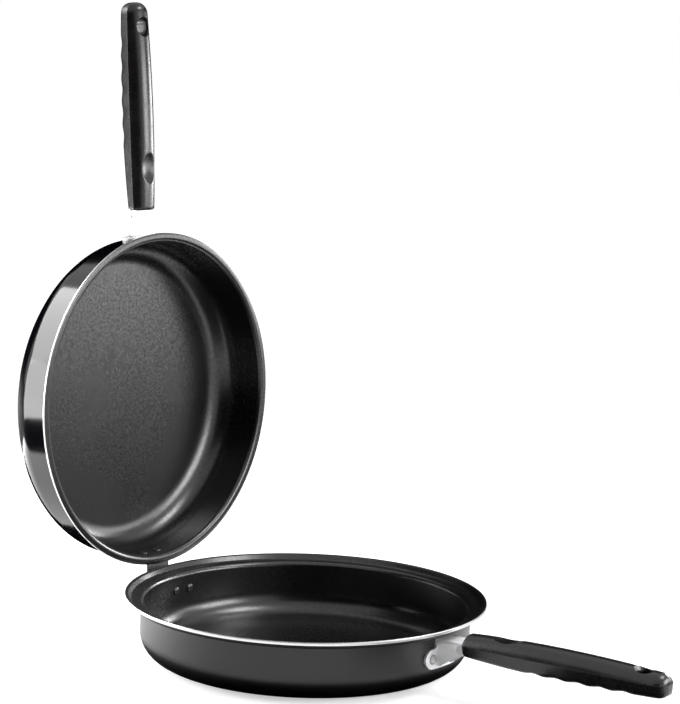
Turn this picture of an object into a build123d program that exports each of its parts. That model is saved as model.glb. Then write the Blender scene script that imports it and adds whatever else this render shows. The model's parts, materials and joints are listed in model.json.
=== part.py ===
from build123d import *
from math import asin, degrees, sqrt
import os

# A double sided flip pan: two shallow round pans joined by a pinned hinge at the back,
# each with a steel handle bracket and a moulded grip at the front.
#
# Row frame: origin at the centre of the lower pan's base, +X from there towards the lower
# grip, +Y along the hinge pin, +Z up. Each pan is built in its own pan frame, with the
# mating plane of the closed pans at z = 0 and the pan's floor above it. The lower pan is
# that frame mirrored downwards, and the upper pan is swung open about the hinge pin.

# ---- Driving dimensions, in millimetres and degrees ----

MATING_HEIGHT = 45.0
OPEN_ANGLE = 92.0

SHEET = 2.2
LOWER_WALL_RADIUS = 121.0
LOWER_CORNER_RADIUS = 17.8
SEAT_DROP = 0.5
SEAT_SLOPE_DROP = 1.1
SEAT_SHOULDER_RADIUS = 3.7
SEAT_BEND_RADIUS = 1.0
RIM_CLEARANCE = 0.5
LIP_FLARE = 2.5
LIP_WIDTH = 2.4
LIP_RISE = 3.1
LIP_SLOPE_DROP = 0.4
LIP_BEND_RADIUS = 1.4

UPPER_DEPTH = 45.6
UPPER_WALL_OUTSET = 1.65
UPPER_CORNER_RADIUS = 19.8
UPPER_FLANGE_WIDTH = 4.75
UPPER_RIM_BEND_RADIUS = 3.5

BASE_RING_RADII = (42.0, 60.0, 78.0)
BASE_RING_WIDTH = 2.4
BASE_RING_DEPTH = 0.5

BRACKET_SHEET = 2.0
BRACKET_SPAN = 40.0
BRACKET_LOBE = 14.5
BRACKET_RIVET_GAP = 4.0
CHANNEL_WIDTH = 17.0
CHANNEL_HEIGHT = 8.5
CHANNEL_HOLE_LENGTH = 5.6
CHANNEL_HOLE_WIDTH = 4.0
CHANNEL_HOLE_SETBACK = 3.8
BRACKET_FILLET = 4.0
LOWER_LOBE_DEPTH = 20.0
UPPER_LOBE_DEPTH = 19.9
LOWER_CHANNEL_DEPTH = 5.5
UPPER_CHANNEL_DEPTH = 18.0

TANG_LENGTH = 30.0
SOCKET_DEPTH = 3.0
SOCKET_CLEARANCE = 0.15

GRIP_STANDOFF = 11.5
GRIP_LENGTH = 160.0
GRIP_BELLY = 0.45
GRIP_BASE_WIDTH = 23.0
GRIP_BELLY_WIDTH = 24.5
GRIP_TIP_WIDTH = 22.0
GRIP_BASE_CROWN = 7.2
GRIP_BELLY_CROWN = 9.6
GRIP_TIP_CROWN = 6.4
GRIP_BASE_SIDE = 8.2
GRIP_BELLY_SIDE = 11.0
GRIP_TIP_SIDE = 9.2
GRIP_RIDGE_OFFSET = 0.75
GRIP_SIDE_TAPER = 2.0
GRIP_EDGE_RADIUS = 4.0
GRIP_RIDGE_RADIUS = 1.0
GRIP_TIP_RADIUS = 9.5
GRIP_CROWN_TIP_RADIUS = 7.0
GRIP_SIDE_TIP_RADIUS = 4.5
GRIP_BASE_EDGE_RADIUS = 2.0
GRIP_SECTIONS = 9
LOWER_GRIP_DEPTH = 7.0
LOWER_GRIP_TILT = -0.9
UPPER_GRIP_DEPTH = 19.7
UPPER_GRIP_TILT = 2.4

FINGER_WAVES = 5
FINGER_WAVE_START = 58.0
FINGER_WAVE_PITCH = 17.6
FINGER_WAVE_DEPTH = 1.3
FINGER_CREST_RADIUS = 3.0

THUMB_REST_CENTRE = 31.5
THUMB_REST_LENGTH = 24.0
THUMB_REST_ROUND = 35.0
THUMB_REST_DEPTH = 2.6

HANG_HOLE_RADIUS = 6.2
HANG_HOLE_SETBACK = 19.0
HANG_HOLE_CROWN_DEPTH = 3.1
HANG_HOLE_CROWN_FLARE = 1.7
HANG_HOLE_SIDE_CHAMFER = 1.2

RIVET_RADIUS = 2.0
RIVET_HEAD_RADIUS = 3.6
RIVET_HEAD_HEIGHT = 1.5
RIVET_FIT = 0.05

SCREW_RADIUS = 2.0
SCREW_HEAD_RADIUS = 3.6
SCREW_HEAD_HEIGHT = 2.4
SCREW_SETBACK = 18.0
SCREW_FIT = 0.2
SCREW_RUN_OUT = 1.0
SCREW_SLOT_WIDTH = 0.9
SCREW_SLOT_DEPTH = 1.1

HINGE_OUTSET = 2.7
HINGE_DROP = 4.9
HINGE_WIDTH = 24.0
HINGE_SHEET = 1.6
HINGE_PIN_RADIUS = 2.0
HINGE_PIN_FIT = 0.06
HINGE_PIN_HEAD_RADIUS = 3.0
HINGE_PIN_HEAD_HEIGHT = 1.0
KNUCKLE_RADIUS = 4.0
KNUCKLE_WIDTH = 7.6
KNUCKLE_GAP = 0.3
HINGE_LIP_GAP = 1.0
HINGE_STOP_GAP = 0.35
HINGE_STOP_LENGTH = 8.0
HINGE_TAB_RADIUS = 4.0
HINGE_TAB_MARGIN = 6.5
HINGE_RIVET_INSET = 4.0
LOWER_HINGE_RIVET_DEPTH = 15.0
UPPER_HINGE_RIVET_DEPTH = 13.5

# Two points nearer than this count as one when corners are picked out for rounding.
TOLERANCE = 0.01

# ---- Sizes that follow from them ----

LOWER_OUTER_RADIUS = LOWER_WALL_RADIUS + SHEET
UPPER_WALL_RADIUS = LOWER_WALL_RADIUS + UPPER_WALL_OUTSET
UPPER_OUTER_RADIUS = UPPER_WALL_RADIUS + SHEET
UPPER_RIM_RADIUS = UPPER_OUTER_RADIUS + UPPER_FLANGE_WIDTH
SEAT_RADIUS = UPPER_RIM_RADIUS + RIM_CLEARANCE
LIP_INNER_RADIUS = SEAT_RADIUS + LIP_FLARE
LIP_RADIUS = LIP_INNER_RADIUS + LIP_WIDTH
HINGE_X = -(LIP_RADIUS + HINGE_OUTSET)
HINGE_Z = MATING_HEIGHT - HINGE_DROP
GRIP_START = LIP_RADIUS + GRIP_STANDOFF
BRACKET_RIVET_SPACING = CHANNEL_WIDTH + 2 * BRACKET_RIVET_GAP
HINGE_RIVET_SPACING = HINGE_WIDTH - 2 * HINGE_RIVET_INSET


# ---- Pans ----

def spun_sheet(points, bends):
    """Round pan of one sheet thickness. Its inner face follows (radius, depth) points."""
    inner_face = FilletPolyline(*points, radius=bends)
    section = make_face(offset(inner_face, amount=SHEET, side=Side.LEFT).edges())
    return revolve(Plane.XZ * section, Axis.Z)


def base_rings(depth):
    """Shallow ring grooves in the outside of the floor."""
    rings = Part()
    for radius in BASE_RING_RADII:
        band = Circle(radius + BASE_RING_WIDTH / 2) - Circle(radius - BASE_RING_WIDTH / 2)
        rings += extrude(Pos(0, 0, depth) * band, -BASE_RING_DEPTH)
    return rings


def lower_pan():
    """Pan with a stepped rim: the upper rim seats on the step, inside the raised lip."""
    floor = MATING_HEIGHT - SHEET
    shoulder = SEAT_DROP + SEAT_SLOPE_DROP
    points = [
        (0, floor),
        (LOWER_WALL_RADIUS, floor),
        (LOWER_WALL_RADIUS, shoulder),
        (SEAT_RADIUS, SEAT_DROP),
        (LIP_INNER_RADIUS, LIP_SLOPE_DROP - LIP_RISE),
        (LIP_RADIUS, -LIP_RISE),
    ]
    bends = [LOWER_CORNER_RADIUS, SEAT_SHOULDER_RADIUS, SEAT_BEND_RADIUS, LIP_BEND_RADIUS]
    trimmed = spun_sheet(points, bends) & extrude(Circle(LIP_RADIUS), MATING_HEIGHT, both=True)
    return trimmed - base_rings(MATING_HEIGHT)


def upper_pan():
    """Pan with a plain rim, turned outwards into a narrow flat flange."""
    floor = UPPER_DEPTH - SHEET
    points = [
        (0, floor),
        (UPPER_WALL_RADIUS, floor),
        (UPPER_WALL_RADIUS, 0),
        (UPPER_RIM_RADIUS, 0),
    ]
    bends = [UPPER_CORNER_RADIUS, UPPER_RIM_BEND_RADIUS]
    return spun_sheet(points, bends) - base_rings(UPPER_DEPTH)


# ---- Rivets ----

def rivet_angles(spacing, radius):
    """Angles about Z of a pair of rivets this far apart on a wall of this radius."""
    half = degrees(asin(spacing / 2 / radius))
    return (-half, half)


def head_seat(inner_radius):
    """Radius at which a flat rivet head touches the inside of a round wall."""
    return sqrt(inner_radius ** 2 - RIVET_HEAD_RADIUS ** 2)


def rivet(wall_radius, stack):
    """Rivet along +X through a wall and the plate outside it, domed at both ends."""
    seat = head_seat(wall_radius)
    far_face = wall_radius + stack
    shank = Pos(seat, 0, 0) * (Rot(0, 90, 0) * Cylinder(
        RIVET_RADIUS, far_face - seat, align=(Align.CENTER, Align.CENTER, Align.MIN)))
    inner_head = Pos(seat, 0, 0) * (Rot(0, -90, 0) * rivet_head())
    outer_head = Pos(far_face, 0, 0) * (Rot(0, 90, 0) * rivet_head())
    return shank + inner_head + outer_head


def rivet_head():
    """Domed head standing on the XY plane."""
    rim = (RIVET_HEAD_RADIUS, RIVET_HEAD_HEIGHT / 4)
    dome = RadiusArc(rim, (0, RIVET_HEAD_HEIGHT), -dome_radius())
    edge = Polyline((0, RIVET_HEAD_HEIGHT), (0, 0), (RIVET_HEAD_RADIUS, 0), rim)
    return revolve(Plane.XZ * make_face(dome + edge), Axis.Z)


def dome_radius():
    """Radius of the ball that a rivet head's dome is part of."""
    rise = RIVET_HEAD_HEIGHT * 3 / 4
    return (RIVET_HEAD_RADIUS ** 2 + rise ** 2) / (2 * rise)


def rivets(wall_radius, plate, spacing, depth):
    """Pair of rivets through a round wall, side by side about the +X direction."""
    one = Pos(0, 0, depth) * rivet(wall_radius, SHEET + plate)
    angles = rivet_angles(spacing, wall_radius + SHEET)
    return Compound(children=[(Rot(0, 0, angle) * one) for angle in angles])


def rivet_holes(wall_radius, plate, spacing, depth):
    """Holes for a pair of rivets, long enough for the wall and its plate."""
    span = 4 * (SHEET + plate)
    hole = Pos(wall_radius, 0, depth) * (Rot(0, 90, 0) * Cylinder(
        RIVET_RADIUS + RIVET_FIT, span))
    angles = rivet_angles(spacing, wall_radius + SHEET)
    return Part() + [Rot(0, 0, angle) * hole for angle in angles]


# ---- Handle brackets ----

def wall_band(radius, thickness, low, high):
    """Part of a tube that lies on the outside of a round wall."""
    band = Circle(radius + thickness) - Circle(radius)
    return extrude(Pos(0, 0, low) * band, high - low)


def bracket_wings(outer_radius, lobe_depth, channel_depth):
    """Two rounded lobes on the wall, joined where the channel leaves it."""
    lobes = SlotOverall(BRACKET_SPAN, BRACKET_LOBE)
    lobes = Pos(0, lobe_depth) * lobes
    near = min(channel_depth, lobe_depth - BRACKET_LOBE / 2)
    root = Pos(0, (near + lobe_depth) / 2) * Rectangle(CHANNEL_WIDTH, lobe_depth - near)
    outline = lobes + root
    step = lobe_depth - BRACKET_LOBE / 2
    inner_corners = [
        v for v in outline.vertices()
        if abs(abs(v.X) - CHANNEL_WIDTH / 2) < TOLERANCE and abs(v.Y - step) < TOLERANCE
    ]
    if near < step and inner_corners:
        outline = fillet(inner_corners, BRACKET_FILLET)
    column = extrude(Plane.YZ * outline, outer_radius + 2 * BRACKET_SHEET)
    low = near - BRACKET_LOBE
    high = lobe_depth + BRACKET_LOBE
    return wall_band(outer_radius, BRACKET_SHEET, low, high) & column


def channel_side(outer_radius, lobe_depth, channel_depth):
    """Side outline of the channel: tall at the wall, tapering to the grip's socket."""
    root = outer_radius - BRACKET_FILLET
    knee = outer_radius + BRACKET_FILLET
    near = min(channel_depth, lobe_depth - BRACKET_LOBE / 2 + BRACKET_SHEET)
    far = lobe_depth + BRACKET_LOBE / 2 - BRACKET_SHEET
    tip = GRIP_START + SOCKET_DEPTH
    points = [
        (root, near),
        (knee, near),
        (GRIP_START - SOCKET_DEPTH, channel_depth),
        (tip, channel_depth),
        (tip, channel_depth + CHANNEL_HEIGHT),
        (GRIP_START - SOCKET_DEPTH, channel_depth + CHANNEL_HEIGHT),
        (knee, far),
        (root, far),
    ]
    return make_face(Polyline(points, close=True))


def bracket_channel(outer_radius, lobe_depth, channel_depth):
    """Folded channel from the wall to the grip, open on its far side."""
    side = Plane.XZ * channel_side(outer_radius, lobe_depth, channel_depth)
    inner_width = CHANNEL_WIDTH - 2 * BRACKET_SHEET
    outside = extrude(side, CHANNEL_WIDTH / 2, both=True)
    inside = extrude(side, inner_width / 2, both=True)
    channel = outside
    for shift in (BRACKET_SHEET, BRACKET_LOBE):
        channel -= Pos(0, 0, shift) * inside
    hole_x = GRIP_START - CHANNEL_HOLE_SETBACK
    hole_z = channel_depth + CHANNEL_HEIGHT / 2
    slot = SlotOverall(CHANNEL_HOLE_LENGTH, CHANNEL_HOLE_WIDTH, rotation=90)
    cheek_holes = extrude(Plane.XZ * (Pos(hole_x, hole_z) * slot), CHANNEL_WIDTH, both=True)
    return channel - cheek_holes


def tang(channel_depth, grown=0.0):
    """Flat tongue that carries the grip, or the slot for it when grown."""
    inner_width = CHANNEL_WIDTH - 2 * BRACKET_SHEET
    length = TANG_LENGTH + SOCKET_DEPTH + grown
    box = Box(
        length, inner_width + 2 * grown, BRACKET_SHEET + 2 * grown,
        align=(Align.MIN, Align.CENTER, Align.MIN))
    return Pos(GRIP_START - SOCKET_DEPTH, 0, channel_depth - grown) * box


def handle_bracket(wall_radius, lobe_depth, channel_depth):
    """Steel bracket: wings riveted to the wall, a channel, and a tang for the grip."""
    outer_radius = wall_radius + SHEET
    bracket = bracket_wings(outer_radius, lobe_depth, channel_depth)
    bracket += bracket_channel(outer_radius, lobe_depth, channel_depth)
    bracket += tang(channel_depth)
    bracket -= extrude(Circle(outer_radius), 4 * BRACKET_SPAN, both=True)
    bracket -= rivet_holes(wall_radius, BRACKET_SHEET, BRACKET_RIVET_SPACING, lobe_depth)
    screw_x = GRIP_START + SCREW_SETBACK
    thread = Pos(screw_x, 0, channel_depth) * Cylinder(SCREW_RADIUS, 4 * BRACKET_SHEET)
    return bracket - thread


# ---- Grips ----

def swell(part, base, belly, tip):
    """Size at this part of the grip's length, swelling from both ends to its belly."""
    if part < GRIP_BELLY:
        return belly + (base - belly) * (1 - part / GRIP_BELLY) ** 2
    return belly + (tip - belly) * ((part - GRIP_BELLY) / (1 - GRIP_BELLY)) ** 2


def grip_width(part):
    """Width of the grip across its side ridges."""
    return swell(part, GRIP_BASE_WIDTH, GRIP_BELLY_WIDTH, GRIP_TIP_WIDTH)


def grip_top(part):
    """Distance of the crown from the grip's axis."""
    return GRIP_RIDGE_OFFSET + swell(part, GRIP_BASE_CROWN, GRIP_BELLY_CROWN, GRIP_TIP_CROWN)


def grip_bottom(part):
    """Distance of the underside from the grip's axis."""
    return swell(part, GRIP_BASE_SIDE, GRIP_BELLY_SIDE, GRIP_TIP_SIDE) - GRIP_RIDGE_OFFSET


def grip_section(part):
    """Section of the grip: a round crown between side ridges, and tapered sides below."""
    half = grip_width(part) / 2
    top = grip_top(part)
    bottom = grip_bottom(part)
    foot = half - GRIP_SIDE_TAPER
    right = (half, -GRIP_RIDGE_OFFSET)
    left = (-half, -GRIP_RIDGE_OFFSET)
    crown = ThreePointArc(left, (0, -top), right)
    sides = FilletPolyline(right, (foot, bottom), (-foot, bottom), left, radius=GRIP_EDGE_RADIUS)
    outline = make_face(crown + sides)
    ridges = [v for v in outline.vertices() if abs(abs(v.X) - half) < TOLERANCE]
    return Plane.YZ.offset(part * GRIP_LENGTH) * fillet(ridges, GRIP_RIDGE_RADIUS)


def grip_blank():
    """Lofted bar with rounded ends in plan and in side view."""
    last = GRIP_SECTIONS - 1
    bar = loft([grip_section(index / last) for index in range(GRIP_SECTIONS)])
    half = GRIP_BASE_WIDTH / 2
    tip_half = GRIP_TIP_WIDTH / 2
    plan = grip_outline(
        (half, half), (tip_half, tip_half), (GRIP_TIP_RADIUS, GRIP_TIP_RADIUS))
    side = grip_outline(
        (grip_top(0), grip_bottom(0)), (grip_top(1), grip_bottom(1)),
        (GRIP_CROWN_TIP_RADIUS, GRIP_SIDE_TIP_RADIUS))
    bar &= extrude(plan, GRIP_LENGTH, both=True)
    return bar & extrude(Plane.XZ * side, GRIP_LENGTH, both=True)


def grip_outline(base, tip, tip_radii):
    """Outline that rounds the grip's ends and leaves the rest of its length free."""
    free = GRIP_BELLY_WIDTH
    belly = GRIP_BELLY * GRIP_LENGTH
    points = [
        (0, -base[0]), (belly, -free), (GRIP_LENGTH, -tip[0]),
        (GRIP_LENGTH, tip[1]), (belly, free), (0, base[1]),
    ]
    edge = GRIP_BASE_EDGE_RADIUS
    bends = [edge, edge, tip_radii[0], tip_radii[1], edge, edge]
    return make_face(FilletPolyline(*points, radius=bends, close=True))


def finger_waves():
    """Cutter for the row of shallow finger waves on the underside."""
    half_pitch = FINGER_WAVE_PITCH / 2
    wave_radius = (half_pitch ** 2 + FINGER_WAVE_DEPTH ** 2) / (2 * FINGER_WAVE_DEPTH)
    cutter = Sketch()
    for index in range(FINGER_WAVES):
        x = FINGER_WAVE_START + index * FINGER_WAVE_PITCH
        z = grip_bottom(x / GRIP_LENGTH) - FINGER_WAVE_DEPTH + wave_radius
        cutter += Pos(x, z) * Circle(wave_radius)
    crests = [v for v in cutter.vertices() if v.Y < wave_radius]
    cutter = fillet(crests, FINGER_CREST_RADIUS)
    return extrude(Plane.XZ * cutter, GRIP_LENGTH, both=True)


def thumb_rest():
    """Cutter for the shallow oval rest on the crown."""
    half = THUMB_REST_LENGTH / 2
    edge = THUMB_REST_ROUND - THUMB_REST_DEPTH
    bow = ThreePointArc((-half, edge), (0, THUMB_REST_ROUND), (half, edge))
    end = Polyline(bow @ 1, (half, 0), (-half, 0), bow @ 0)
    spindle = revolve(make_face(bow + end), Axis.X)
    surface = grip_top(THUMB_REST_CENTRE / GRIP_LENGTH)
    return Pos(THUMB_REST_CENTRE, 0, -surface - edge) * spindle


def hang_hole():
    """Cutter for the hang hole near the tip, flared on the crown, chamfered below."""
    x = GRIP_LENGTH - HANG_HOLE_SETBACK
    part = x / GRIP_LENGTH
    flare_start = HANG_HOLE_CROWN_DEPTH - grip_top(part)
    chamfer_start = grip_bottom(part) - HANG_HOLE_SIDE_CHAMFER
    slope = HANG_HOLE_CROWN_FLARE / HANG_HOLE_CROWN_DEPTH
    far = 2 * HANG_HOLE_RADIUS
    side = Polyline(
        (0, flare_start - far),
        (HANG_HOLE_RADIUS + far * slope, flare_start - far),
        (HANG_HOLE_RADIUS, flare_start),
        (HANG_HOLE_RADIUS, chamfer_start),
        (HANG_HOLE_RADIUS + far, chamfer_start + far),
        (0, chamfer_start + far),
        close=True,
    )
    return Pos(x, 0, 0) * revolve(Plane.XZ * make_face(side), Axis.Z)


def grip_place(grip_depth, tilt):
    """Place of the grip's own frame in the pan frame."""
    return Pos(GRIP_START, 0, grip_depth) * Rot(0, -tilt, 0)


def grip(grip_depth, tilt, channel_depth):
    """Moulded grip, with a socket for the bracket and a bore for its screw."""
    body = grip_blank() - finger_waves() - thumb_rest() - hang_hole()
    body = grip_place(grip_depth, tilt) * body
    gap = SOCKET_CLEARANCE
    socket = Box(
        2 * (SOCKET_DEPTH + gap), CHANNEL_WIDTH + 2 * gap, CHANNEL_HEIGHT + 2 * gap)
    body -= Pos(GRIP_START, 0, channel_depth + CHANNEL_HEIGHT / 2) * socket
    body -= tang(channel_depth, gap)
    return body - screw_bore(grip_depth, channel_depth)


def screw_seat(grip_depth):
    """Depth of the face under the screw's head, in the pan frame."""
    return grip_depth + grip_bottom(0) - SCREW_HEAD_HEIGHT


def screw_bore(grip_depth, channel_depth):
    """Clearance hole and head recess for the grip's screw."""
    x = GRIP_START + SCREW_SETBACK
    seat = screw_seat(grip_depth)
    bottom = channel_depth - SCREW_RUN_OUT - SCREW_FIT
    up = (Align.CENTER, Align.CENTER, Align.MIN)
    hole = Cylinder(SCREW_RADIUS + SCREW_FIT, seat - bottom, align=up)
    recess = Cylinder(SCREW_HEAD_RADIUS + SCREW_FIT, GRIP_BELLY_WIDTH, align=up)
    return Pos(x, 0, bottom) * hole + Pos(x, 0, seat) * recess


def grip_screw(grip_depth, channel_depth):
    """Slotted screw that clamps the grip to the bracket's tang."""
    x = GRIP_START + SCREW_SETBACK
    seat = screw_seat(grip_depth)
    bottom = channel_depth - SCREW_RUN_OUT
    up = (Align.CENTER, Align.CENTER, Align.MIN)
    screw = Pos(x, 0, bottom) * Cylinder(SCREW_RADIUS, seat - bottom, align=up)
    screw += Pos(x, 0, seat) * Cylinder(SCREW_HEAD_RADIUS, SCREW_HEAD_HEIGHT, align=up)
    slot = Box(SCREW_SLOT_WIDTH, 3 * SCREW_HEAD_RADIUS, 2 * SCREW_SLOT_DEPTH)
    return screw - Pos(x, 0, seat + SCREW_HEAD_HEIGHT) * slot


# ---- Hinge, with the pans closed, in the row frame ----

def hinge_tab(radius, near, far):
    """Curved plate against the wall, from its free end to its web, on the -X side."""
    low = min(near, far)
    high = max(near, far)
    outline = Pos(0, (low + high) / 2) * Rectangle(HINGE_WIDTH, high - low)
    free_corners = [v for v in outline.vertices() if abs(v.Y - far) < TOLERANCE]
    outline = fillet(free_corners, HINGE_TAB_RADIUS)
    column = extrude(Plane.YZ * outline, -radius - 2 * HINGE_SHEET)
    return wall_band(radius, HINGE_SHEET, low, high) & column


def knuckle(width, radius=KNUCKLE_RADIUS):
    """Cylinder about the hinge pin's axis."""
    return Pos(HINGE_X, 0, HINGE_Z) * (Rot(90, 0, 0) * Cylinder(radius, width))


def plate(x_range, width, z_range):
    """Flat plate across the hinge's centre."""
    x0, x1 = x_range
    z0, z1 = z_range
    box = Box(x1 - x0, width, z1 - z0)
    return Pos((x0 + x1) / 2, 0, (z0 + z1) / 2) * box


def stop_height():
    """Top of the lower leaf's tail, on which the open upper leaf rests."""
    reach = MATING_HEIGHT + LIP_RISE + HINGE_LIP_GAP + HINGE_SHEET - HINGE_Z
    lean = Vector(-KNUCKLE_RADIUS, 0, reach).rotate(Axis.Y, -OPEN_ANGLE)
    return HINGE_Z + lean.Z - HINGE_STOP_GAP


def lower_hinge_leaf():
    """Fixed leaf: a tab on the wall, a web under the lip, two ears and a stop tail."""
    rivet_z = MATING_HEIGHT - LOWER_HINGE_RIVET_DEPTH
    top = stop_height()
    web = (top - HINGE_SHEET, top)
    leaf = hinge_tab(LOWER_OUTER_RADIUS, top, rivet_z - HINGE_TAB_MARGIN)
    leaf += plate((HINGE_X - HINGE_STOP_LENGTH, -LOWER_WALL_RADIUS), HINGE_WIDTH, web)
    leaf += knuckle(HINGE_WIDTH)
    leaf += plate(
        (HINGE_X - KNUCKLE_RADIUS, HINGE_X + KNUCKLE_RADIUS), HINGE_WIDTH, (top, HINGE_Z))
    window = KNUCKLE_WIDTH + 2 * KNUCKLE_GAP
    leaf -= plate(
        (HINGE_X - 2 * KNUCKLE_RADIUS, HINGE_X + 2 * KNUCKLE_RADIUS), window,
        (top, HINGE_Z + 2 * KNUCKLE_RADIUS))
    leaf -= knuckle(2 * HINGE_WIDTH, HINGE_PIN_RADIUS)
    leaf -= extrude(Circle(LOWER_OUTER_RADIUS), MATING_HEIGHT)
    return leaf - Rot(0, 0, 180) * rivet_holes(
        LOWER_WALL_RADIUS, HINGE_SHEET, HINGE_RIVET_SPACING, rivet_z)


def upper_hinge_leaf():
    """Moving leaf: a tab on the wall, a web over the lip, a drop and one knuckle."""
    rivet_z = MATING_HEIGHT + UPPER_HINGE_RIVET_DEPTH
    low = MATING_HEIGHT + LIP_RISE + HINGE_LIP_GAP
    web = (low, low + HINGE_SHEET)
    back = HINGE_X - KNUCKLE_RADIUS
    drop = (back, back + HINGE_SHEET)
    drop_end = HINGE_Z + KNUCKLE_RADIUS + 2 * KNUCKLE_GAP
    leaf = hinge_tab(UPPER_OUTER_RADIUS, low, rivet_z + HINGE_TAB_MARGIN)
    leaf += plate((back, -UPPER_WALL_RADIUS), HINGE_WIDTH, web)
    leaf += plate(drop, HINGE_WIDTH, (drop_end, low + HINGE_SHEET))
    leaf += plate(drop, KNUCKLE_WIDTH, (HINGE_Z, drop_end))
    leaf += knuckle(KNUCKLE_WIDTH)
    leaf -= knuckle(2 * HINGE_WIDTH, HINGE_PIN_RADIUS + HINGE_PIN_FIT)
    leaf -= Pos(0, 0, MATING_HEIGHT) * extrude(Circle(UPPER_OUTER_RADIUS), UPPER_DEPTH)
    return leaf - Rot(0, 0, 180) * rivet_holes(
        UPPER_WALL_RADIUS, HINGE_SHEET, HINGE_RIVET_SPACING, rivet_z)


def hinge_pin():
    """Pin through the ears, headed at both ends."""
    head = knuckle(HINGE_PIN_HEAD_HEIGHT, HINGE_PIN_HEAD_RADIUS)
    offset_y = (HINGE_WIDTH + HINGE_PIN_HEAD_HEIGHT) / 2
    pin = knuckle(HINGE_WIDTH, HINGE_PIN_RADIUS)
    return pin + Pos(0, offset_y, 0) * head + Pos(0, -offset_y, 0) * head


# ---- Assembly ----

def place_lower(shape):
    """Pan frame to row frame for the lower pan, whose floor faces down."""
    return Pos(0, 0, MATING_HEIGHT) * mirror(shape, about=Plane.XY)


def place_closed(shape):
    """Pan frame to row frame for the upper pan when it is closed."""
    return Pos(0, 0, MATING_HEIGHT) * shape


def open_up(shape):
    """Swing a closed upper piece about the hinge pin to the open stop."""
    swing = Pos(HINGE_X, 0, HINGE_Z) * Rot(0, -OPEN_ANGLE, 0) * Pos(-HINGE_X, 0, -HINGE_Z)
    return swing * shape


def at_back(shape):
    """Turn a piece from the +X side of a pan to its hinge side."""
    return Rot(0, 0, 180) * shape


def pan_group(body, wall_radius, lobe_depth, channel_depth, grip_depth, tilt, hinge_depth):
    """Every piece that belongs to one pan, in its pan frame."""
    handle_rivets = (wall_radius, BRACKET_SHEET, BRACKET_RIVET_SPACING, lobe_depth)
    hinge_rivets = (wall_radius, HINGE_SHEET, HINGE_RIVET_SPACING, hinge_depth)
    drilled = body - rivet_holes(*handle_rivets) - at_back(rivet_holes(*hinge_rivets))
    return {
        "pan_body": drilled,
        "handle_bracket": handle_bracket(wall_radius, lobe_depth, channel_depth),
        "handle_rivets": rivets(*handle_rivets),
        "handle_grip": grip(grip_depth, tilt, channel_depth),
        "grip_screw": grip_screw(grip_depth, channel_depth),
        "hinge_rivets": at_back(rivets(*hinge_rivets)),
    }


def flip_pan():
    """All nodes in the row frame, with the upper pan open."""
    lower = pan_group(
        lower_pan(), LOWER_WALL_RADIUS, LOWER_LOBE_DEPTH, LOWER_CHANNEL_DEPTH,
        LOWER_GRIP_DEPTH, LOWER_GRIP_TILT, LOWER_HINGE_RIVET_DEPTH)
    upper = pan_group(
        upper_pan(), UPPER_WALL_RADIUS, UPPER_LOBE_DEPTH, UPPER_CHANNEL_DEPTH,
        UPPER_GRIP_DEPTH, UPPER_GRIP_TILT, UPPER_HINGE_RIVET_DEPTH)
    nodes = {f"lower_{name}": place_lower(shape) for name, shape in lower.items()}
    nodes |= {f"upper_{name}": open_up(place_closed(shape)) for name, shape in upper.items()}
    nodes["lower_hinge_leaf"] = lower_hinge_leaf()
    nodes["upper_hinge_leaf"] = open_up(upper_hinge_leaf())
    nodes["hinge_pin"] = hinge_pin()
    return nodes


if __name__ == "__main__":
    os.makedirs("parts", exist_ok=True)
    for node, shape in flip_pan().items():
        export_step(shape, f"parts/{node}.step")
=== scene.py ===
"""Dresses a double sided flip pan: two enamelled pans on a pinned hinge, with steel
brackets and moulded grips, on a plain studio floor."""

import json
from math import asin, cos, pi, radians, sin, sqrt, tan

import bmesh
import bpy
from mathutils import Matrix, Vector


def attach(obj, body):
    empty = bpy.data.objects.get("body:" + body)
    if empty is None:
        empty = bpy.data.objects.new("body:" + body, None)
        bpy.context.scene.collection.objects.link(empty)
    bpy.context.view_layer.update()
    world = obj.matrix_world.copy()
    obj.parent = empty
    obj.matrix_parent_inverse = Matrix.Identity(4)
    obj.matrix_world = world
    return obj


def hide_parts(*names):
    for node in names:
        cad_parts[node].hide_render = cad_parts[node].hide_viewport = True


bl_info = {
    "name": "Flip Pan",
    "version": (1, 0, 0),
    "blender": (4, 5, 0),
    "location": "View3D > Sidebar > Flip Pan",
    "description": "Builds the visible pieces of a double sided flip pan",
    "category": "Add Mesh",
}

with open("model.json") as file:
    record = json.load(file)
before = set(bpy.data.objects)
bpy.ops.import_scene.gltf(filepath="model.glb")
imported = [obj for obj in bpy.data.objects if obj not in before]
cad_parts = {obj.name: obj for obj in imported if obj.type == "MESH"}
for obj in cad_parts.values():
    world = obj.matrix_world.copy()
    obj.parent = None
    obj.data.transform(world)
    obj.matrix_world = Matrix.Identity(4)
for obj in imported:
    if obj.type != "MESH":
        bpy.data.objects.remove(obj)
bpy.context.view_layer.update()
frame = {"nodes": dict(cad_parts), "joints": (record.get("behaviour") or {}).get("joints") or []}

MM = 0.001
HINGE = frame["joints"][0]
HINGE_POINT = Vector(HINGE["pos_m"])
OPEN_ANGLE = radians(HINGE["range_deg"][1])
PAN_NAMES = ("lower", "upper")

# Least roughness of each pan's enamel and of the steels, and how dark the steel of the
# screws and rivets is beside the brackets'. The rivets' darker steel is painted shade,
# standing in for the shade round their heads.
ENAMEL_HAZE = {"lower": 0.33, "upper": 0.07}
BRACKET_HAZE = 0.56
SCREW_HAZE = 0.25
SCREW_TONE = 0.7
RIVET_HAZE = 0.30
RIVET_PAINTED_SHADE = 0.55
# Degrees by which each grip's tip leans away from the mating plane.
GRIP_TILT = {"lower": -0.9, "upper": 2.4}

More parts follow.
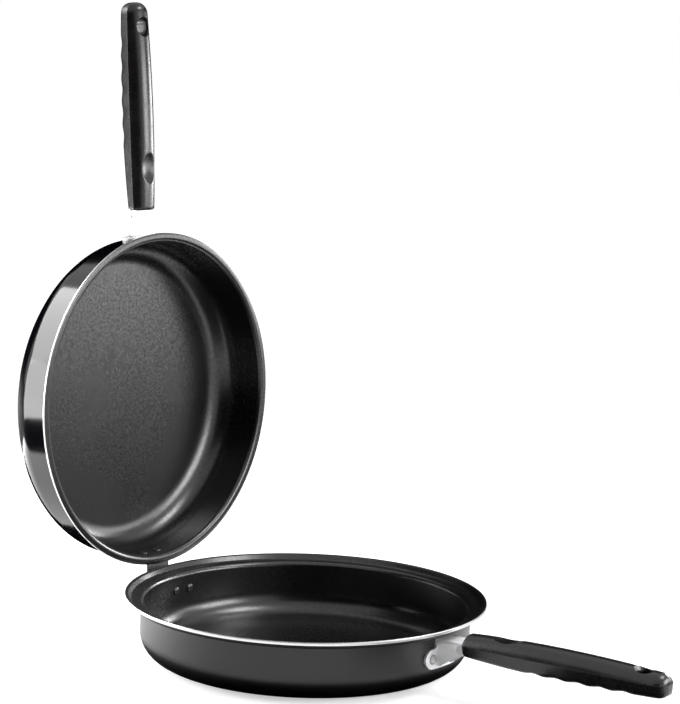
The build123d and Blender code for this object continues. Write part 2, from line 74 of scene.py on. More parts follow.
# Distances in metres under which points of a new mesh, of a copied mesh and of an
# outline are one point, and under which a point lies on the axis.
MERGE = 1e-6
COPY_MERGE = 2e-6
SAME_POINT = 1e-9
ON_AXIS = 1e-7
# Degrees between faces: joined up as flat, bevelled, and shaded as a sharp edge.
FLAT_ANGLE = 0.6
BEVEL_ANGLE = 28.0
BEVELLED_SHARP = 50.0
PAN_SHARP = 40.0
GRIP_SHARP = 38.0
# Parts round a spun solid, a round card and a rivet head, and a head's rings.
PAN_SEGMENTS = 256
CUTTER_SEGMENTS = 72
CARD_SEGMENTS = 48
RIVET_SEGMENTS = 40
RIVET_RINGS = 24

# Distances from a pan's axis where the lining's inner ring and its flat floor end.
RING_EDGE = (0.062, 0.080)
FLAT_EDGE = (0.086, 0.106)
# Section of a base ring's groove: half widths across, and depths down.
GROOVE = ((-1.15, 0), (-0.85, 1), (0.85, 1), (1.15, 0))

# Steps of the grip's section: in each round, over the crown, and in each straight
# stretch that starts at one of these points of the rounded section.
ROUND_STEPS = 8
CROWN_STEPS = 56
SIDE_PARTS = 8
SIDE_STARTS = (8, 17, 26)
# Steps along the grip at its rounded base and tip.
BASE_STEPS = 6
TIP_STEPS = 20

# Share of the white surroundings' light that falls on the pieces.
AMBIENT = 0.2
# Lift of the floor towards white where it is seen, near the pans and far from them,
# and the distances between which it rises.
FLOOR_LIFT = (0.5, 1.0)
FLOOR_RISE = (0.5, 2.6)
FLOOR_HALF = 6.0
PANS_MIDDLE = (-0.15, 0.0, 0.25)
# Softboxes: name, place, target, width, height, watts and roll in degrees.
LAMPS = (
    ("strip_low", (-0.745, -0.635, 0.227), (-0.18, -0.13, 0.227), 0.28, 0.437, 3.2, 0.0),
    ("strip_high", (-0.77, -0.38, 0.70), (-0.18, -0.1, 0.32), 0.66, 0.28, 4.6, -38.0),
    ("low_left", (-0.68, -0.16, 0.09), (-0.1, -0.06, 0.03), 0.34, 0.16, 9.0, 0.0),
    ("top_right", (0.62, 0.42, 1.38), PANS_MIDDLE, 0.50, 0.40, 10.0, 0.0),
    ("low_back", (0.66, 0.99, 0.29), (-0.19, 0, 0.25), 0.7, 0.36, 3.7, 0.0),
    ("high_back", (0.17, 1.21, 0.42), (-0.15, 0, 0.4), 0.5, 0.30, 8.0, 0.0),
    ("right", (1.02, 0.40, 0.50), PANS_MIDDLE, 0.7, 0.34, 10.0, 0.0),
)
# Black cards: name, place, facing, width, height and number of sides.
CARDS = (
    ("card_left", (-0.52, -0.46, 0.02), (0, 0, 1), 0.46, 0.40, 4),
    ("card_hinge", (-0.40, 0.14, 0.004), (0, 0, 1), 0.36, 0.40, 4),
    ("card_under", (0, 0, 0.001), (0, 0, 1), 0.275, 0.275, CARD_SEGMENTS),
    ("card_grip", (0.29, -0.06, 0.001), (0, 0, 1), 0.20, 0.12, 4),
    ("card_back", (-1.00, 0.93, 0.68), (0.67, -0.74, 0), 1.6, 1.3, 4),
    ("card_behind", (1.0, 1.28, 0.40), (-0.68, -0.73, 0), 1.4, 0.9, 4),
    ("card_floor", (0.39, 0.62, 0.002), (0, 0, 1), 0.8, 0.8, 4),
    ("card_far_left", (-1.30, -0.05, 0.45), (1, 0, 0), 0.9, 0.88, 4),
    ("card_front", (0.48, -1.10, 0.62), (-0.48, 0.88, 0), 1.7, 1.1, 4),
    ("card_front_left", (-0.60, -1.02, 0.42), (0.37, 0.93, 0), 0.8, 0.8, 4),
    ("card_back_right", (0.00, 1.50, 0.6), (0, -1, 0), 1.1, 1.15, 4),
    ("card_low_left", (-0.60, -0.15, 0.11), (1, 0, 0), 0.44, 0.21, 4),
)


# ---- Sizes and colours that a user would change ----

def length(name, description, millimetres):
    """A length property, written in millimetres and held in metres."""
    return bpy.props.FloatProperty(
        name=name, description=description, default=millimetres * MM,
        subtype="DISTANCE", unit="LENGTH", precision=5)


def colour(name, description, value):
    """A colour property without alpha."""
    return bpy.props.FloatVectorProperty(
        name=name, description=description, default=value,
        subtype="COLOR", size=3, min=0.0, max=1.0)


class PanSizes(bpy.types.PropertyGroup):
    """Sizes of the two pans and their rims."""

    sheet: length("Sheet", "Thickness of the pressed sheet", 2.2)
    mating_height: length(
        "Mating height", "Height of the plane where the rims meet", 45.0)
    lower_wall: length(
        "Lower wall radius", "Inner radius of the lower pan's wall", 121.0)
    lower_corner: length("Lower corner", "Inner radius between floor and wall", 17.8)
    shoulder: length("Shoulder", "Radius of the bend from the wall to the seat", 3.7)
    shoulder_drop: length("Shoulder drop", "Depth of the seat's inner edge", 1.6)
    seat: length("Seat radius", "Outer radius of the seat for the upper rim", 130.1)
    seat_drop: length("Seat drop", "Depth of the seat's outer edge", 0.5)
    lip_inner: length(
        "Lip inner radius", "Radius where the raised lip turns flat", 132.6)
    lip: length("Lip radius", "Outer radius of the raised lip", 135.0)
    lip_rise: length("Lip rise", "Height of the lip above the mating plane", 3.1)
    lip_slope: length("Lip slope", "Fall of the lip towards the seat", 0.4)
    upper_depth: length("Upper depth", "Depth of the upper pan outside", 45.6)
    upper_wall: length(
        "Upper wall radius", "Inner radius of the upper pan's wall", 122.65)
    upper_corner: length("Upper corner", "Inner radius between floor and wall", 19.8)
    upper_bend: length(
        "Rim bend", "Radius of the bend from the wall to the flange", 3.5)
    upper_rim: length("Upper rim radius", "Outer radius of the upper flange", 129.6)
    rings: bpy.props.IntProperty(
        name="Base rings", description="Number of ring grooves in the base",
        default=3, min=0, max=5)
    ring_radius: length("Ring radius", "Radius of the smallest base ring", 42.0)
    ring_pitch: length("Ring pitch", "Distance between base rings", 18.0)
    ring_width: length("Ring width", "Width of a base ring's groove", 2.4)
    ring_depth: length("Ring depth", "Depth of a base ring's groove", 0.5)


class GripSizes(bpy.types.PropertyGroup):
    """Sizes of the moulded grips and their places in the pans' own frames."""

    start: length("Start", "Distance of the grip from the pan's axis", 146.5)
    long: length("Length", "Length of the grip", 160.0)
    belly: bpy.props.FloatProperty(
        name="Belly", description="Part of the length where the grip is fullest",
        default=0.45, min=0.1, max=0.9)
    base_width: length("Base width", "Width at the bracket", 23.0)
    belly_width: length("Belly width", "Width at the belly", 24.5)
    tip_width: length("Tip width", "Width at the tip", 22.0)
    base_crown: length("Base crown", "Height of the crown at the bracket", 7.2)
    belly_crown: length("Belly crown", "Height of the crown at the belly", 9.6)
    tip_crown: length("Tip crown", "Height of the crown at the tip", 6.4)
    base_side: length("Base side", "Depth of the sides at the bracket", 8.2)
    belly_side: length("Belly side", "Depth of the sides at the belly", 11.0)
    tip_side: length("Tip side", "Depth of the sides at the tip", 9.2)
    ridge: length("Ridge offset", "Distance of the side ridge from the middle", 0.75)
    side_taper: length("Side taper", "How far the sides draw in below the ridge", 2.0)
    edge: length("Edge radius", "Radius of the lower edges", 4.0)
    ridge_edge: length("Ridge radius", "Radius of the side ridge", 0.8)
    tip: length("Tip radius", "Radius of the tip's corners in plan", 9.5)
    crown_tip: length("Crown tip", "Radius of the tip above, in side view", 7.0)
    side_tip: length("Side tip", "Radius of the tip below, in side view", 4.5)
    base_edge: length("Base edge", "Radius of the corners at the bracket", 2.0)
    wave_start: length("First wave", "Distance of the first finger wave", 58.0)
    wave_pitch: length("Wave pitch", "Distance between finger waves", 17.6)
    wave_depth: length("Wave depth", "Depth of the finger waves", 1.0)
    waves: bpy.props.IntProperty(
        name="Waves", description="Number of finger waves", default=5, min=1, max=9)
    rest_centre: length("Thumb rest", "Distance of the thumb rest", 31.5)
    rest_length: length("Thumb rest length", "Length of the thumb rest", 24.0)
    rest_round: length("Thumb rest round", "Radius across the thumb rest", 35.0)
    rest_depth: length("Thumb rest depth", "Depth of the thumb rest", 2.6)
    rest_edge: length("Thumb rest edge", "Softness of the thumb rest's edge", 0.35)
    hole: length("Hang hole radius", "Radius of the hang hole", 6.2)
    hole_setback: length("Hole setback", "Distance of the hang hole from the tip", 19.0)
    hole_flare: length(
        "Hole flare", "Depth of the flare of the hole's upper mouth", 3.1)
    hole_spread: length("Hole spread", "How far the upper mouth flares", 1.7)
    hole_chamfer: length("Hole chamfer", "Chamfer at the hole's lower mouth", 1.2)
    lower_depth: length(
        "Lower place", "Lower grip's distance from the mating plane", 7.0)
    upper_depth: length(
        "Upper place", "Upper grip's distance from the mating plane", 19.7)


class RivetSizes(bpy.types.PropertyGroup):
    """Sizes of the rivets that hold the brackets and the hinge."""

    radius: length("Head radius", "Radius of a rivet head", 3.6)
    height: length("Head height", "Height of a rivet head", 1.5)
    plate: length("Plate", "Thickness of the hinge plates", 1.6)
    bracket: length("Bracket", "Thickness of the brackets", 2.0)
    handle_spacing: length(
        "Handle spacing", "Distance between a bracket's rivets", 25.0)
    hinge_spacing: length("Hinge spacing", "Distance between a leaf's rivets", 16.0)
    lower_handle: length(
        "Lower bracket rivets", "Their distance from the mating plane", 20.0)
    upper_handle: length(
        "Upper bracket rivets", "Their distance from the mating plane", 19.9)
    lower_hinge: length(
        "Lower leaf rivets", "Their distance from the mating plane", 15.0)
    upper_hinge: length(
        "Upper leaf rivets", "Their distance from the mating plane", 13.5)


class Finishes(bpy.types.PropertyGroup):
    """Base colours of the finishes."""

    enamel: colour("Enamel", "Gloss enamel outside the pans", (0.0012, 0.0012, 0.0020))
    lining: colour("Lining", "Non-stick lining", (0.0024, 0.0024, 0.0023))
    bare: colour("Bare metal", "Cut edges of the sheet", (0.72, 0.72, 0.73))
    steel: colour("Bright steel", "Brackets", (0.82, 0.82, 0.83))
    grip: colour("Grip", "Moulded grips", (0.0042, 0.0034, 0.0036))
    coat: colour("Black coat", "Hinge and coated rivets", (0.006, 0.006, 0.006))


# ---- Shader nodes ----

class Value:
    """A number in a node tree. Using it in an expression adds the Math nodes."""

    def __init__(self, tree, socket):
        self.tree = tree
        self.socket = socket

    def apply(self, operation, *operands):
        """Result of a Math node on these numbers."""
        node = self.tree.nodes.new("ShaderNodeMath")
        node.operation = operation
        for slot, operand in zip(node.inputs, operands):
            if isinstance(operand, Value):
                self.tree.links.new(operand.socket, slot)
            else:
                slot.default_value = operand
        return Value(self.tree, node.outputs[0])

    def __add__(self, other):
        return self.apply("ADD", self, other)

    def __radd__(self, other):
        return self.apply("ADD", other, self)

    def __sub__(self, other):
        return self.apply("SUBTRACT", self, other)

    def __rsub__(self, other):
        return self.apply("SUBTRACT", other, self)

    def __mul__(self, other):
        return self.apply("MULTIPLY", self, other)

    def __rmul__(self, other):
        return self.apply("MULTIPLY", other, self)

    def smooth(self, low, high):
        """0 below low, 1 above high, and a soft step between."""
        node = self.tree.nodes.new("ShaderNodeMapRange")
        node.interpolation_type = "SMOOTHSTEP"
        self.tree.links.new(self.socket, node.inputs["Value"])
        node.inputs["From Min"].default_value = low
        node.inputs["From Max"].default_value = high
        return Value(self.tree, node.outputs["Result"])


class Finish:
    """A material under construction."""

    def __init__(self, name):
        self.material = bpy.data.materials.new(name)
        self.material.use_nodes = True
        self.tree = self.material.node_tree
        self.tree.nodes.clear()
        self.place = self.add("ShaderNodeTexCoord").outputs["Object"]

    def add(self, kind, settings=None, **sockets):
        """A node of this type, with its settings, and its sockets set or linked."""
        node = self.tree.nodes.new(kind)
        for name, value in (settings or {}).items():
            setattr(node, name, value)
        for name, value in sockets.items():
            self.connect(node.inputs[name.replace("_", " ")], value)
        return node

    def connect(self, socket, value):
        """Links a value or a socket to this socket, or sets it to a constant."""
        if isinstance(value, Value):
            self.tree.links.new(value.socket, socket)
        elif isinstance(value, bpy.types.NodeSocket):
            self.tree.links.new(value, socket)
        else:
            socket.default_value = value

    def value(self, socket):
        """A socket as a number for expressions."""
        return Value(self.tree, socket)

    def noise(self, scale, detail, roughness=0.5, place=None):
        """Noise of this many features per metre, centred on a half."""
        node = self.add(
            "ShaderNodeTexNoise", Vector=place or self.place,
            Scale=scale, Detail=detail, Roughness=roughness)
        return self.value(node.outputs["Fac"])

    def mix(self, factor, first, second):
        """Colour between two colours without alpha."""
        node = self.add("ShaderNodeMix", {"data_type": "RGBA"})
        self.connect(node.inputs["Factor"], factor)
        colours = [socket for socket in node.inputs if socket.type == "RGBA"]
        for socket, value in zip(colours, (first, second)):
            if isinstance(value, tuple):
                value = (*value, 1.0)
            self.connect(socket, value)
        return [socket for socket in node.outputs if socket.type == "RGBA"][0]

    def bump(self, height, strength, distance):
        """Normal from a height."""
        node = self.add(
            "ShaderNodeBump", Height=height, Strength=strength, Distance=distance)
        return node.outputs["Normal"]

    def finish(self, **sockets):
        """Ends the material in a Principled shader with these sockets."""
        shader = self.add("ShaderNodeBsdfPrincipled", None, **sockets)
        output = self.add("ShaderNodeOutputMaterial")
        self.tree.links.new(shader.outputs["BSDF"], output.inputs["Surface"])
        return self.material


def radius_from_axis(finish, placement):
    """Distance from a pan's axis, for patterns that were spun with the pan."""
    centre = placement.inverted()
    mapped = finish.add(
        "ShaderNodeMapping", {"vector_type": "POINT"}, Vector=finish.place,
        Location=centre.to_translation(), Rotation=centre.to_euler())
    split = finish.add("ShaderNodeSeparateXYZ", Vector=mapped.outputs["Vector"])
    across = finish.value(split.outputs["X"])
    along = finish.value(split.outputs["Y"])
    square = across * across + along * along
    return square.apply("SQRT", square)


def darker(value, factor):
    """A colour scaled by a factor."""
    return tuple(channel * factor for channel in value)


def enamel_finish(name, tone, haze):
    """Gloss black enamel with the faint orange peel of a sprayed coat."""
    f = Finish(name)
    peel = f.noise(260.0, 2.0)
    drift = f.noise(14.0, 2.0)
    tint = f.mix(drift, darker(tone, 0.8), darker(tone, 1.3))
    rough = haze + 0.06 * drift + 0.03 * f.noise(900.0, 2.0)
    return f.finish(
        Base_Color=tint, Roughness=rough, IOR=1.5,
        Normal=f.bump(peel, 0.08, 0.0003))


def lining_finish(name, tone, placement):
    """Semi-gloss non-stick lining with fine speckle, stronger on the flat floor."""
    f = Finish(name)
    speckle = f.noise(1300.0, 2.0, 0.6)
    mottle = f.noise(440.0, 3.0, 0.6)
    cloud = f.noise(11.0, 2.0)
    reach = radius_from_axis(f, placement)
    inner_ring = reach.smooth(*RING_EDGE)
    flat = 1.0 - reach.smooth(*FLAT_EDGE)
    grain = mottle.smooth(0.33, 0.67)
    light = 0.70 * grain + 0.20 * speckle + 0.20 * cloud - 0.20 * inner_ring
    tint = f.mix(light, darker(tone, 0.2), darker(tone, 3.6))
    rough = 0.24 + 0.12 * cloud - 0.04 * grain + 0.015 * inner_ring
    height = 0.85 * mottle + 0.15 * speckle
    return f.finish(
        Base_Color=tint, Roughness=rough, IOR=1.4,
        Coat_Weight=0.5 + (grain - 0.5) * (0.20 + 0.46 * flat), Coat_Roughness=0.24,
        Normal=f.bump(height * (0.35 + 0.65 * flat), 0.43, 0.00016))


def bare_finish(name, tone):
    """Trimmed edge of the sheet, with the fine marks of the trimming tool."""
    f = Finish(name)
    marks = f.noise(1400.0, 2.0)
    drift = f.noise(30.0, 2.0)
    tint = f.mix(drift, darker(tone, 0.88), tone)
    return f.finish(
        Base_Color=tint, Metallic=1.0, Roughness=0.30 + 0.12 * marks,
        Normal=f.bump(marks, 0.15, 0.0001))


def steel_finish(name, tone, roughness):
    """Pressed steel with faint drawing marks and handling haze."""
    f = Finish(name)
    drawn = f.add("ShaderNodeMapping", Vector=f.place, Scale=(40.0, 900.0, 900.0))
    marks = f.noise(1.0, 3.0, 0.6, place=drawn.outputs["Vector"])
    haze = f.noise(60.0, 3.0)
    tint = f.mix(haze, darker(tone, 0.93), tone)
    return f.finish(
        Base_Color=tint, Metallic=1.0,
        Roughness=roughness + 0.08 * haze + 0.05 * marks,
        Normal=f.bump(haze, 0.04, 0.0002))


def moulded_finish(name, tone):
    """Semi-gloss phenolic moulding with a fine pressed grain."""
    f = Finish(name)
    grain = f.noise(1700.0, 2.0, 0.5)
    flow = f.noise(45.0, 3.0)
    wear = f.noise(120.0, 3.0).smooth(0.45, 0.75)
    tint = f.mix(flow, darker(tone, 0.8), darker(tone, 1.5))
    rough = 0.20 + 0.08 * flow + 0.06 * wear + 0.05 * grain
    return f.finish(
        Base_Color=tint, Roughness=rough, IOR=1.5,
        Normal=f.bump(grain, 0.22, 0.00012))


def coated_finish(name, tone):
    """Satin black coat over pressed steel, a little worn."""
    f = Finish(name)
    grain = f.noise(1300.0, 2.0)
    drift = f.noise(50.0, 2.0)
    tint = f.mix(drift, tone, darker(tone, 2.2))
    return f.finish(
        Base_Color=tint, Roughness=0.22 + 0.12 * drift,
        Normal=f.bump(grain, 0.18, 0.0001))


# ---- Meshes ----

def linked(name, data):
    """New object in the scene with this mesh, lamp or camera."""
    piece = bpy.data.objects.new(name, data)
    bpy.context.scene.collection.objects.link(piece)
    return piece


def filleted(corners, steps, closed=False):
    """Points of an outline whose corners, given as (x, y, radius), are rounded."""
    points = []
    count = len(corners)
    for index, (x, y, radius) in enumerate(corners):
        here = Vector((x, y))
        inside = closed or 0 < index < count - 1
        if not inside or radius <= 0:
            points.append(here)
            continue
        before = Vector(corners[index - 1][:2]) - here
        after = Vector(corners[(index + 1) % count][:2]) - here
        half = before.angle(after) / 2
        reach = radius / tan(half)
        start = here + before.normalized() * reach
        end = here + after.normalized() * reach
        middle = here + (before.normalized() + after.normalized()).normalized() * (
            radius / sin(half))
        first = start - middle
        turn = first.angle_signed(end - middle)
        for step in range(steps + 1):
            spin = Matrix.Rotation(-turn * step / steps, 2)
            points.append(middle + spin @ first)
    return points


def new_object(name, vertices, faces, slots=None, materials=(), placement=None):
    """Object at the origin whose place is in its mesh, with outward faces."""
    mesh = bpy.data.meshes.new(name)
    mesh.from_pydata([tuple(v) for v in vertices], [], faces)
    for material in materials:
        mesh.materials.append(material)
    if slots is not None:
        mesh.polygons.foreach_set("material_index", slots)
    if placement is not None:
        mesh.transform(placement)
    shape = bmesh.new()
    shape.from_mesh(mesh)
    bmesh.ops.remove_doubles(shape, verts=shape.verts, dist=MERGE)
    bmesh.ops.recalc_face_normals(shape, faces=shape.faces)
    shape.to_mesh(mesh)
    shape.free()
    mesh.shade_smooth()
    return linked(name, mesh)


def spun(name, stretches, materials, placement, segments):
    """Solid of revolution. Each stretch is its (radius, height) points and a slot."""
    outline = []
    slots = []
    for points, slot in stretches:
        for point in points[:-1]:
            outline.append(point)
            slots.append(slot)
    outline.append(stretches[-1][0][-1])
    vertices = []
    for radius, height in outline:
        for step in range(segments):
            angle = 2 * pi * step / segments
            vertices.append((radius * cos(angle), radius * sin(angle), height))
    faces = []
    face_slots = []
    for ring, slot in enumerate(slots):
        for step in range(segments):
            a = ring * segments + step
            b = ring * segments + (step + 1) % segments
            corner = [a, b, b + segments, a + segments]
            if outline[ring][0] < ON_AXIS:
                corner = [a, b + segments, a + segments]
            elif outline[ring + 1][0] < ON_AXIS:
                corner = [a, b, a + segments]
            faces.append(corner)
            face_slots.append(slot)
    return new_object(name, vertices, faces, face_slots, materials, placement)


def applied(piece):
    """Turns the piece's modifiers into plain mesh."""
    bpy.context.view_layer.update()
    evaluated = piece.evaluated_get(bpy.context.evaluated_depsgraph_get())
    mesh = bpy.data.meshes.new_from_object(evaluated)
    piece.modifiers.clear()
    piece.data = mesh
    return piece


def softened(piece, width, segments):
    """Rounds the piece's sharp edges."""
    bevel = piece.modifiers.new("edge", "BEVEL")
    bevel.width = width
    bevel.segments = segments
    bevel.limit_method = "ANGLE"
    bevel.angle_limit = radians(BEVEL_ANGLE)
    bevel.miter_outer = "MITER_ARC"
    applied(piece)
    piece.data.shade_smooth()
    piece.data.set_sharp_from_angle(angle=radians(BEVELLED_SHARP))


def copied(node, name, material):
    """Merged copy of a CAD node's mesh, with its flat faces joined up."""
    mesh = frame["nodes"][node].data.copy()
    mesh.name = name
    mesh.materials.clear()
    mesh.materials.append(material)
    shape = bmesh.new()
    shape.from_mesh(mesh)
    bmesh.ops.remove_doubles(shape, verts=shape.verts, dist=COPY_MERGE)
    bmesh.ops.dissolve_limit(
        shape, angle_limit=radians(FLAT_ANGLE), verts=shape.verts, edges=shape.edges)
    shape.to_mesh(mesh)
    shape.free()
    return linked(name, mesh)


def seated(piece, pan, slot, *nodes):
    """Gives the piece its body and hides the nodes that it stands for. The slot is not used."""
    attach(piece, f"{pan}_pan")
    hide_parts(*nodes)


# ---- Places ----

def closed_place():
    """From a pan's own frame to the part's frame, for the closed upper pan."""
    height = bpy.context.scene.pan_sizes.mating_height
    return Matrix.Translation((0, 0, height))


def pan_place(pan):
    """From a pan's own frame, whose floor is above its rim, to the part's frame."""
    if pan == "lower":
        return closed_place() @ Matrix.Scale(-1, 4, (0, 0, 1))
    swing = (
        Matrix.Translation(HINGE_POINT)
        @ Matrix.Rotation(-OPEN_ANGLE, 4, "Y")
        @ Matrix.Translation(-HINGE_POINT))
    return swing @ closed_place()


def grip_place(pan):
    """From a grip's own frame to the part's frame."""
    sizes = bpy.context.scene.grip_sizes
    depth = sizes.lower_depth if pan == "lower" else sizes.upper_depth
    tilt = radians(GRIP_TILT[pan])
    local = Matrix.Translation((sizes.start, 0, depth)) @ Matrix.Rotation(-tilt, 4, "Y")
    return pan_place(pan) @ local


# ---- Pans ----

def lower_lining(s):
    """Lower pan's inner face, from the middle of its floor to the lip's edge."""
    floor = s.mating_height - s.sheet
    seat_bend = 1.0 * MM
    lip_bend = 1.4 * MM
    return [
        (0, floor, 0),
        (s.lower_wall, floor, s.lower_corner),
        (s.lower_wall, s.shoulder_drop, s.shoulder),
        (s.seat, s.seat_drop, seat_bend),
        (s.lip_inner, s.lip_slope - s.lip_rise, lip_bend),
        (s.lip, -s.lip_rise, 0),
    ]


def upper_lining(s):
    """Upper pan's inner face, from the middle of its floor to the flange's edge."""
    floor = s.upper_depth - s.sheet
    return [
        (0, floor, 0),
        (s.upper_wall, floor, s.upper_corner),
        (s.upper_wall, 0, s.upper_bend),
        (s.upper_rim, 0, 0),
    ]


def offset_line(points, distance):
    """Line at a distance to the left of an outline of points."""
    moved = []
    for index, point in enumerate(points):
        before = points[max(index - 1, 0)]
        after = points[min(index + 1, len(points) - 1)]
        directions = [
            (b - a).normalized() for a, b in ((before, point), (point, after))
            if (b - a).length > SAME_POINT]
        normals = [Vector((-d.y, d.x)) for d in directions]
        mean = sum(normals, Vector((0, 0))).normalized()
        moved.append(point + mean * distance / max(mean.dot(normals[0]), 0.5))
    return moved


def base_rings(s, outer):
    """Outer face of a pan, with shallow ring grooves pressed into its flat base."""
    level = outer[0].y
    rings = [outer[0]]
    for ring in range(s.rings):
        middle = s.ring_radius + ring * s.ring_pitch
        for reach, depth in GROOVE:
            place = middle + reach * s.ring_width / 2
            rings.append(Vector((place, level - depth * s.ring_depth)))
    return rings + outer[1:]


def pan_outline(s, corners, rim_radius, coated_round):
    """Inner face, cut edge and outer face of a pan, with their slots.

    The edge's small rounds are coated with the faces or left bare with the cut.
    """
    edge_round = 0.35 * MM
    near = 0.3
    inner = filleted(corners, 10)
    outer = offset_line(inner, s.sheet)
    outer = [p for p in outer if p.x <= rim_radius - MERGE or p.x < inner[-1].x]
    outer[-1] = Vector((rim_radius, outer[-1].y))
    outer[0].x = 0.0
    outer = base_rings(s, outer)
    top = inner[-1]
    low = outer[-1]
    inner[-1] = top + (inner[-2] - top).normalized() * edge_round
    outer[-1] = low + (outer[-2] - low).normalized() * edge_round
    down = (low - top).normalized() * edge_round
    cut = [
        inner[-1], top + (down + inner[-1] - top) * near, top + down,
        low - down, low + (outer[-1] - low - down) * near, outer[-1]]
    if coated_round:
        return [(inner + cut[1:3], 0), (cut[2:4], 1), (cut[3:-1] + outer[::-1], 2)]
    return [(inner, 0), (cut, 1), (outer[::-1], 2)]


class FLIPPAN_OT_pans(bpy.types.Operator):
    """Spin both pans, with lining, bare cut edge and enamel"""

    bl_idname = "flippan.pans"
    bl_label = "Pans"

    def execute(self, context):
        s = context.scene.pan_sizes
        tones = context.scene.finishes
        bare = bare_finish("bare_edge", tuple(tones.bare))
        shapes = {
            "lower": (lower_lining(s), s.lip), "upper": (upper_lining(s), s.upper_rim)}
        for pan, (corners, rim) in shapes.items():
            place = pan_place(pan)
            lining = lining_finish(f"{pan}_lining", tuple(tones.lining), place)
            enamel = enamel_finish(
                f"{pan}_enamel", tuple(tones.enamel), ENAMEL_HAZE[pan])
            outline = pan_outline(s, corners, rim, pan == "upper")
            piece = spun(
                f"{pan}_pan_shell", outline, (lining, bare, enamel), place, PAN_SEGMENTS)
            piece.data.set_sharp_from_angle(angle=radians(PAN_SHARP))
            seated(piece, pan, f"{pan}_pan", f"{pan}_pan_body")
        return {"FINISHED"}


# ---- Grips ----

def blend(low, high, part):
    """Soft step from low to high as part goes from 0 to 1."""
    part = min(max(part, 0.0), 1.0)
    return low + (high - low) * part * part * (3 - 2 * part)


def swell(s, part, base, belly, tip):
    """Size at this part of the length, swelling from both ends to the belly."""
    if part < s.belly:
        return belly + (base - belly) * (1 - part / s.belly) ** 2
    return belly + (tip - belly) * ((part - s.belly) / (1 - s.belly)) ** 2


def grip_top(s, part):
    """Distance of the crown from the grip's axis."""
    return s.ridge + swell(s, part, s.base_crown, s.belly_crown, s.tip_crown)


def grip_bottom(s, part):
    """Distance of the underside from the grip's axis."""
    return swell(s, part, s.base_side, s.belly_side, s.tip_side) - s.ridge


def crown_arc(half, ridge, top):
    """Points of the crown's arc between its two ridges, ends left out."""
    rise = top - ridge
    radius = (half * half + rise * rise) / (2 * rise)
    centre = radius - top
    reach = asin(min(half / radius, 1.0))
    points = []
    for step in range(1, CROWN_STEPS):
        angle = reach * (2 * step / CROWN_STEPS - 1)
        points.append((radius * sin(angle), centre - radius * cos(angle), 0))
    return points


def grip_section(s, part):
    """Section of the grip as (y, z) points, with the crown on the -z side."""
    half = swell(s, part, s.base_width, s.belly_width, s.tip_width) / 2
    bottom = grip_bottom(s, part)
    foot = half - s.side_taper
    corners = [
        (half, -s.ridge, s.ridge_edge),
        (foot, bottom, s.edge),
        (-foot, bottom, s.edge),
        (-half, -s.ridge, s.ridge_edge),
    ]
    corners += crown_arc(half, s.ridge, grip_top(s, part))
    rounded = filleted(corners, ROUND_STEPS, closed=True)
    points = []
    for index, point in enumerate(rounded):
        following = rounded[(index + 1) % len(rounded)]
        count = SIDE_PARTS if index in SIDE_STARTS else 1
        points += [point.lerp(following, step / count) for step in range(count)]
    return points


def inset(past, radius):
    """How far a rounded end has drawn the outline in, this far past the round's start."""
    if past <= 0:
        return 0.0
    return radius - sqrt(max(radius * radius - past * past, 0))


def grip_stations(s):
    """Distances along the grip, closer together at both ends and at the thumb rest."""
    quarter = pi / 2
    base = [
        s.base_edge * (1 - cos(quarter * step / BASE_STEPS))
        for step in range(BASE_STEPS)]
    tip = [
        s.long - s.tip * (1 - sin(quarter * step / TIP_STEPS))
        for step in range(TIP_STEPS + 1)]
    rest = 0.6 * s.rest_length
    # Where a stretch starts, and the distance between its stations in millimetres.
    marks = [
        (s.base_edge, 1.0), (s.rest_centre - rest, 0.4),
        (s.rest_centre + rest, 0.9), (s.long - s.tip, 0.0),
    ]
    body = []
    for (start, pitch), (end, _) in zip(marks, marks[1:]):
        count = int((end - start) / (pitch * MM))
        body += [start + (end - start) * step / count for step in range(count)]
    return base + body + tip


def wave_dip(s, x, share):
    """Depth of the finger waves here, for a share of 0 at the axis to 1 underneath."""
    place = (x - s.wave_start) / s.wave_pitch + 0.5
    if not 0 <= place <= s.waves:
        return 0.0
    scallop = 0.5 - 0.5 * cos(2 * pi * (place % 1.0))
    none, full = 0.1, 0.9
    return s.wave_depth * scallop * blend(0, 1, (share - none) / (full - none))


def rested(s, x, y, z):
    """Height of the crown here once the oval thumb rest is pressed in."""
    along = x - s.rest_centre
    half = s.rest_length / 2
    bow = (half * half + s.rest_depth ** 2) / (2 * s.rest_depth)
    if abs(along) >= bow:
        return z
    across = s.rest_round - bow + sqrt(bow * bow - along * along)
    if abs(y) >= across:
        return z
    crown = grip_top(s, s.rest_centre / s.long)
    floor = sqrt(across * across - y * y) - crown - s.rest_round + s.rest_depth
    gap = z - floor
    softening = 6 * s.rest_edge
    if gap > softening:
        return z
    return (z + floor + sqrt(gap * gap + s.rest_edge ** 2)) / 2


def grip_mesh(s):
    """Vertices and faces of the grip in its own frame."""
    vertices = []
    faces = []
    stations = grip_stations(s)
    for x in stations:
        part = x / s.long
        half = swell(s, part, s.base_width, s.belly_width, s.tip_width) / 2
        top = grip_top(s, part)
        bottom = grip_bottom(s, part)
        base = inset(s.base_edge - x, s.base_edge)
        across, above, below = (
            1 - (inset(x - s.long + radius, radius) + base) / size
            for radius, size in ((s.tip, half), (s.crown_tip, top), (s.side_tip, bottom)))
        for y, z in grip_section(s, part):
            if z > 0:
                z = (z - wave_dip(s, x, z / bottom)) * below
            else:
                z = rested(s, x, y, z) * above
            vertices.append((x, y * across, z))
    ring = len(vertices) // len(stations)
    for station in range(len(stations) - 1):
        for step in range(ring):
            a = station * ring + step
            b = station * ring + (step + 1) % ring
            faces.append((a, b, b + ring, a + ring))
    faces.append(tuple(range(ring)))
    faces.append(tuple(range(len(vertices) - ring, len(vertices))))
    return vertices, faces


